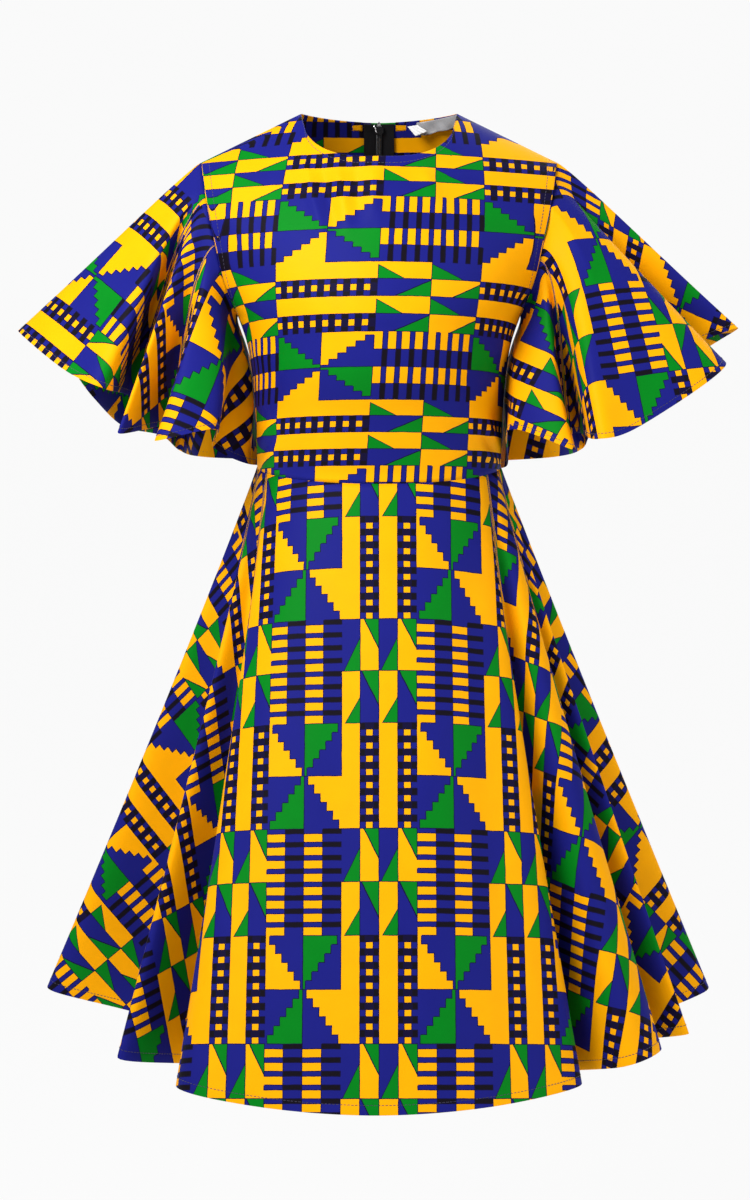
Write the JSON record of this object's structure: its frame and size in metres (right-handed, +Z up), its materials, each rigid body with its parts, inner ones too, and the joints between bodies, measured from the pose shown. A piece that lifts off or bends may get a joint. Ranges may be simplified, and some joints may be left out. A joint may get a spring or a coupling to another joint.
{
  "type": "ankara wax print dress",
  "caption": "Knee-length cotton dress with a round neck, fitted bodice, flutter sleeves, circle skirt and a back zip, filled out as if worn.",
  "frame": {"origin": "midway between the high points of the shoulders, where the wearer's shoulders hold the dress", "axes": "+Z up the dress towards the neck, -Y out of its front, +X towards the wearer's left, which is the right side as seen from the front"},
  "size_m": [0.708, 0.5413, 0.932],
  "materials": {
    "wax_print": "smooth with a slight satin sheen, printed with a traditional kente repeat of stepped pinwheels, ladders, triangles and checked strips in yellow, blue, green and black",
    "zip_tape": "matt woven",
    "zip_coil": "semi-gloss",
    "zip_metal": "gloss black with bright worn edges",
    "label_satin": "satin sheen, creased, blank",
    "label_tag": "matt, blank"
  },
  "bodies": {
    "dress": {"bodice_front": "wax_print", "bodice_back_left": "wax_print", "bodice_back_right": "wax_print", "skirt_front": "wax_print", "skirt_back_left": "wax_print", "skirt_back_right": "wax_print", "sleeve_left": "wax_print", "sleeve_right": "wax_print", "neck_facing_left": "wax_print", "neck_facing_right": "wax_print", "zip_tape_left": "zip_tape", "zip_tape_right": "zip_tape", "zip_coil": "zip_coil", "zip_slider": "zip_metal", "neck_label": "label_satin", "label_tag": "label_tag"},
    "zip_pull": {"zip_pull_tab": "zip_metal"}
  },
  "joints": [
    {"name": "zip_pull_hinge", "type": "hinge", "parent": "dress", "child": "zip_pull", "pos_m": [0, 0.0534, -0.00655], "axis": [1, 0, 0], "range_deg": [0, 150]}
  ]
}
